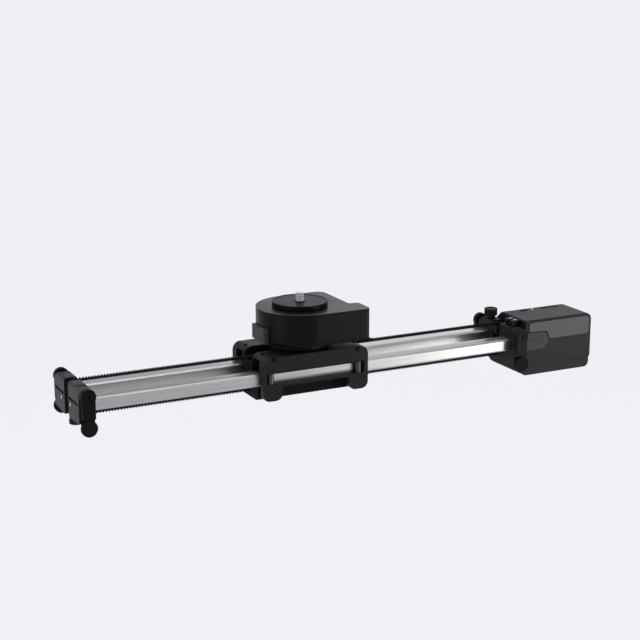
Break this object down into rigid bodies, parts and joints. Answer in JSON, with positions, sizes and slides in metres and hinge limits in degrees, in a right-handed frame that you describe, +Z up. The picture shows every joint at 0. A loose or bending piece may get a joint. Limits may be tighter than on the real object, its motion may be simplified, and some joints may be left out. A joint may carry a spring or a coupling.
{
  "type": "camera slider",
  "caption": "Belt-driven twin-rail camera slider with a motor module, swing-out legs and a turning pan head on the moving carriage.",
  "frame": {"origin": "centre of the tripod carriage's flat underside, where the tripod plate seats", "axes": "+X along the rails towards the motor module, +Y to the far side, +Z up"},
  "size_m": [0.5681, 0.0868, 0.109],
  "materials": {
    "clear_aluminium": "fine satin, clear anodised",
    "black_anodised": "satin black anodised",
    "black_plastic": "matte moulded",
    "grey_plastic": "fine-textured moulded",
    "dark_plastic": "fine-textured moulded",
    "black_rubber": "matte",
    "steel": "turned",
    "acetal": "smooth"
  },
  "bodies": {
    "tripod_carriage_body": {"tripod_carriage": "black_anodised", "tripod_belt_clamp": "steel"},
    "rail_body": {"near_rail": "clear_aluminium", "far_rail": "clear_aluminium", "drive_belt": "black_rubber", "module_shell": "dark_plastic", "module_base": "dark_plastic", "battery_cover": "grey_plastic", "module_side_tab": "dark_plastic", "module_latch": "black_anodised", "drive_motor": "steel", "left_cap_near": "black_anodised", "left_cap_far": "black_anodised", "right_cap_near": "black_anodised", "right_cap_far": "black_anodised", "left_near_leg_bolt": "black_anodised", "left_far_leg_bolt": "black_anodised", "right_near_leg_bolt": "black_anodised", "right_far_leg_bolt": "black_anodised"},
    "camera_carriage_body": {"carriage_deck": "black_anodised", "camera_belt_clamp": "black_anodised", "near_side_plate": "black_anodised", "far_side_plate": "black_anodised", "pan_base_disc": "black_anodised", "pan_housing": "black_anodised", "pan_floor": "black_plastic", "pan_motor": "steel"},
    "pan_platform_body": {"pan_platform": "black_anodised", "camera_screw": "steel"},
    "pan_pinion_body": {"pan_pinion": "acetal"},
    "left_top_idler_body": {"left_top_idler": "steel"},
    "left_bottom_idler_body": {"left_bottom_idler": "steel"},
    "left_near_leg_body": {"left_near_leg": "black_anodised", "left_near_foot": "black_rubber"},
    "near_left_side_roller_body": {"near_left_side_roller": "steel"},
    "near_left_under_roller_body": {"near_left_under_roller": "acetal"},
    "near_left_spool_body": {"near_left_spool": "steel"},
    "left_far_leg_body": {"left_far_leg": "black_anodised", "left_far_foot": "black_rubber"},
    "far_left_side_roller_body": {"far_left_side_roller": "steel"},
    "far_left_under_roller_body": {"far_left_under_roller": "acetal"},
    "far_left_spool_body": {"far_left_spool": "steel"},
    "right_top_idler_body": {"right_top_idler": "steel"},
    "right_bottom_idler_body": {"right_bottom_idler": "steel"},
    "right_near_leg_body": {"right_near_leg": "black_anodised", "right_near_foot": "black_rubber"},
    "near_right_side_roller_body": {"near_right_side_roller": "steel"},
    "near_right_under_roller_body": {"near_right_under_roller": "acetal"},
    "near_right_spool_body": {"near_right_spool": "steel"},
    "right_far_leg_body": {"right_far_leg": "black_anodised", "right_far_foot": "black_rubber"},
    "far_right_side_roller_body": {"far_right_side_roller": "steel"},
    "far_right_under_roller_body": {"far_right_under_roller": "acetal"},
    "far_right_spool_body": {"far_right_spool": "steel"},
    "drive_wheel_body": {"drive_wheel": "acetal"},
    "motor_pinion_body": {"motor_pinion": "steel"},
    "module_lock_knob_body": {"module_lock_knob": "black_anodised"},
    "belt_tension_knob_body": {"belt_tension_knob": "black_anodised"},
    "power_button_body": {"power_button": "black_rubber"},
    "pan_side_button_body": {"pan_side_button": "dark_plastic"}
  },
  "joints": [
    {"name": "rail_slide", "type": "slide", "parent": "tripod_carriage_body", "child": "rail_body", "axis": [1, 0, 0], "range_m": [-0.165, 0.168]},
    {"name": "camera_carriage_slide", "type": "slide", "parent": "rail_body", "child": "camera_carriage_body", "axis": [1, 0, 0], "range_m": [-0.165, 0.168]},
    {"name": "pan_turn", "type": "hinge", "parent": "camera_carriage_body", "child": "pan_platform_body", "pos_m": [0, 0, 0.0844], "axis": [0, 0, 1], "continuous": true},
    {"name": "pan_pinion_turn", "type": "hinge", "parent": "camera_carriage_body", "child": "pan_pinion_body", "pos_m": [0.0273, 0, 0.0844], "axis": [0, 0, 1], "continuous": true},
    {"name": "left_top_idler_turn", "type": "hinge", "parent": "rail_body", "child": "left_top_idler_body", "pos_m": [-0.2309, 0, 0.0316], "axis": [0, 1, 0], "continuous": true},
    {"name": "left_bottom_idler_turn", "type": "hinge", "parent": "rail_body", "child": "left_bottom_idler_body", "pos_m": [-0.2309, 0, 0.0124], "axis": [0, 1, 0], "continuous": true},
    {"name": "left_near_leg_swing", "type": "hinge", "parent": "rail_body", "child": "left_near_leg_body", "pos_m": [-0.2322, -0.0365, 0.0332], "axis": [0, 1, 0], "range_deg": [0, 90]},
    {"name": "near_left_side_roller_turn", "type": "hinge", "parent": "camera_carriage_body", "child": "near_left_side_roller_body", "pos_m": [-0.0475, -0.03282, 0.022], "axis": [0, 0, 1], "continuous": true},
    {"name": "near_left_under_roller_turn", "type": "hinge", "parent": "camera_carriage_body", "child": "near_left_under_roller_body", "pos_m": [-0.0398, -0.0254, 0.01168], "axis": [0, 1, 0], "continuous": true},
    {"name": "near_left_spool_turn", "type": "hinge", "parent": "tripod_carriage_body", "child": "near_left_spool_body", "pos_m": [-0.044, -0.01048, 0.022], "axis": [0, 0, 1], "continuous": true},
    {"name": "left_far_leg_swing", "type": "hinge", "parent": "rail_body", "child": "left_far_leg_body", "pos_m": [-0.2322, 0.0365, 0.0332], "axis": [0, 1, 0], "range_deg": [0, 90]},
    {"name": "far_left_side_roller_turn", "type": "hinge", "parent": "camera_carriage_body", "child": "far_left_side_roller_body", "pos_m": [-0.0475, 0.03282, 0.022], "axis": [0, 0, 1], "continuous": true},
    {"name": "far_left_under_roller_turn", "type": "hinge", "parent": "camera_carriage_body", "child": "far_left_under_roller_body", "pos_m": [-0.0398, 0.0254, 0.01168], "axis": [0, 1, 0], "continuous": true},
    {"name": "far_left_spool_turn", "type": "hinge", "parent": "tripod_carriage_body", "child": "far_left_spool_body", "pos_m": [-0.044, 0.01048, 0.022], "axis": [0, 0, 1], "continuous": true},
    {"name": "right_top_idler_turn", "type": "hinge", "parent": "rail_body", "child": "right_top_idler_body", "pos_m": [0.23428, 0, 0.0316], "axis": [0, 1, 0], "continuous": true},
    {"name": "right_bottom_idler_turn", "type": "hinge", "parent": "rail_body", "child": "right_bottom_idler_body", "pos_m": [0.23428, 0, 0.0124], "axis": [0, 1, 0], "continuous": true},
    {"name": "right_near_leg_swing", "type": "hinge", "parent": "rail_body", "child": "right_near_leg_body", "pos_m": [0.23558, -0.0365, 0.0332], "axis": [0, -1, 0], "range_deg": [0, 90]},
    {"name": "near_right_side_roller_turn", "type": "hinge", "parent": "camera_carriage_body", "child": "near_right_side_roller_body", "pos_m": [0.0475, -0.03282, 0.022], "axis": [0, 0, 1], "continuous": true},
    {"name": "near_right_under_roller_turn", "type": "hinge", "parent": "camera_carriage_body", "child": "near_right_under_roller_body", "pos_m": [0.0398, -0.0254, 0.01168], "axis": [0, 1, 0], "continuous": true},
    {"name": "near_right_spool_turn", "type": "hinge", "parent": "tripod_carriage_body", "child": "near_right_spool_body", "pos_m": [0.044, -0.01048, 0.022], "axis": [0, 0, 1], "continuous": true},
    {"name": "right_far_leg_swing", "type": "hinge", "parent": "rail_body", "child": "right_far_leg_body", "pos_m": [0.23558, 0.0365, 0.0332], "axis": [0, -1, 0], "range_deg": [0, 90]},
    {"name": "far_right_side_roller_turn", "type": "hinge", "parent": "camera_carriage_body", "child": "far_right_side_roller_body", "pos_m": [0.0475, 0.03282, 0.022], "axis": [0, 0, 1], "continuous": true},
    {"name": "far_right_under_roller_turn", "type": "hinge", "parent": "camera_carriage_body", "child": "far_right_under_roller_body", "pos_m": [0.0398, 0.0254, 0.01168], "axis": [0, 1, 0], "continuous": true},
    {"name": "far_right_spool_turn", "type": "hinge", "parent": "tripod_carriage_body", "child": "far_right_spool_body", "pos_m": [0.044, 0.01048, 0.022], "axis": [0, 0, 1], "continuous": true},
    {"name": "drive_wheel_turn", "type": "hinge", "parent": "rail_body", "child": "drive_wheel_body", "pos_m": [0.25198, 0, 0.022], "axis": [0, 1, 0], "continuous": true},
    {"name": "motor_pinion_turn", "type": "hinge", "parent": "rail_body", "child": "motor_pinion_body", "pos_m": [0.26428, -0.007, 0.022], "axis": [0, 1, 0], "continuous": true},
    {"name": "module_lock_knob_turn", "type": "hinge", "parent": "rail_body", "child": "module_lock_knob_body", "pos_m": [0.23428, 0.017, 0.0407], "axis": [0, 0, 1], "range_deg": [-720, 0]},
    {"name": "belt_tension_knob_turn", "type": "hinge", "parent": "rail_body", "child": "belt_tension_knob_body", "pos_m": [-0.2345, -0.0105, 0.0047], "axis": [0, 0, 1], "range_deg": [-360, 360]},
    {"name": "power_button_press", "type": "slide", "parent": "rail_body", "child": "power_button_body", "axis": [0, 0, -1], "range_m": [0, 0.0006], "stiffness_N_per_m": 800, "springref_m": -0.0003},
    {"name": "pan_side_button_press", "type": "slide", "parent": "camera_carriage_body", "child": "pan_side_button_body", "axis": [1, 0, 0], "range_m": [0, 0.0012], "stiffness_N_per_m": 1000, "springref_m": -0.0003}
  ],
  "couplings": [
    {"joint": "camera_carriage_slide", "follows": "rail_slide", "ratio": 1},
    {"joint": "pan_pinion_turn", "follows": "pan_turn", "ratio": -2.8571},
    {"joint": "left_top_idler_turn", "follows": "rail_slide", "rad_per_m": 138.89},
    {"joint": "left_bottom_idler_turn", "follows": "rail_slide", "rad_per_m": 138.89},
    {"joint": "near_left_side_roller_turn", "follows": "rail_slide", "rad_per_m": 303.03},
    {"joint": "near_left_under_roller_turn", "follows": "rail_slide", "rad_per_m": -250},
    {"joint": "near_left_spool_turn", "follows": "rail_slide", "rad_per_m": 312.5},
    {"joint": "far_left_side_roller_turn", "follows": "rail_slide", "rad_per_m": -303.03},
    {"joint": "far_left_under_roller_turn", "follows": "rail_slide", "rad_per_m": -250},
    {"joint": "far_left_spool_turn", "follows": "rail_slide", "rad_per_m": -312.5},
    {"joint": "right_top_idler_turn", "follows": "rail_slide", "rad_per_m": 138.89},
    {"joint": "right_bottom_idler_turn", "follows": "rail_slide", "rad_per_m": 138.89},
    {"joint": "near_right_side_roller_turn", "follows": "rail_slide", "rad_per_m": 303.03},
    {"joint": "near_right_under_roller_turn", "follows": "rail_slide", "rad_per_m": -250},
    {"joint": "near_right_spool_turn", "follows": "rail_slide", "rad_per_m": 312.5},
    {"joint": "far_right_side_roller_turn", "follows": "rail_slide", "rad_per_m": -303.03},
    {"joint": "far_right_under_roller_turn", "follows": "rail_slide", "rad_per_m": -250},
    {"joint": "far_right_spool_turn", "follows": "rail_slide", "rad_per_m": -312.5},
    {"joint": "drive_wheel_turn", "follows": "rail_slide", "rad_per_m": -119.05},
    {"joint": "motor_pinion_turn", "follows": "rail_slide", "rad_per_m": 238.1}
  ]
}
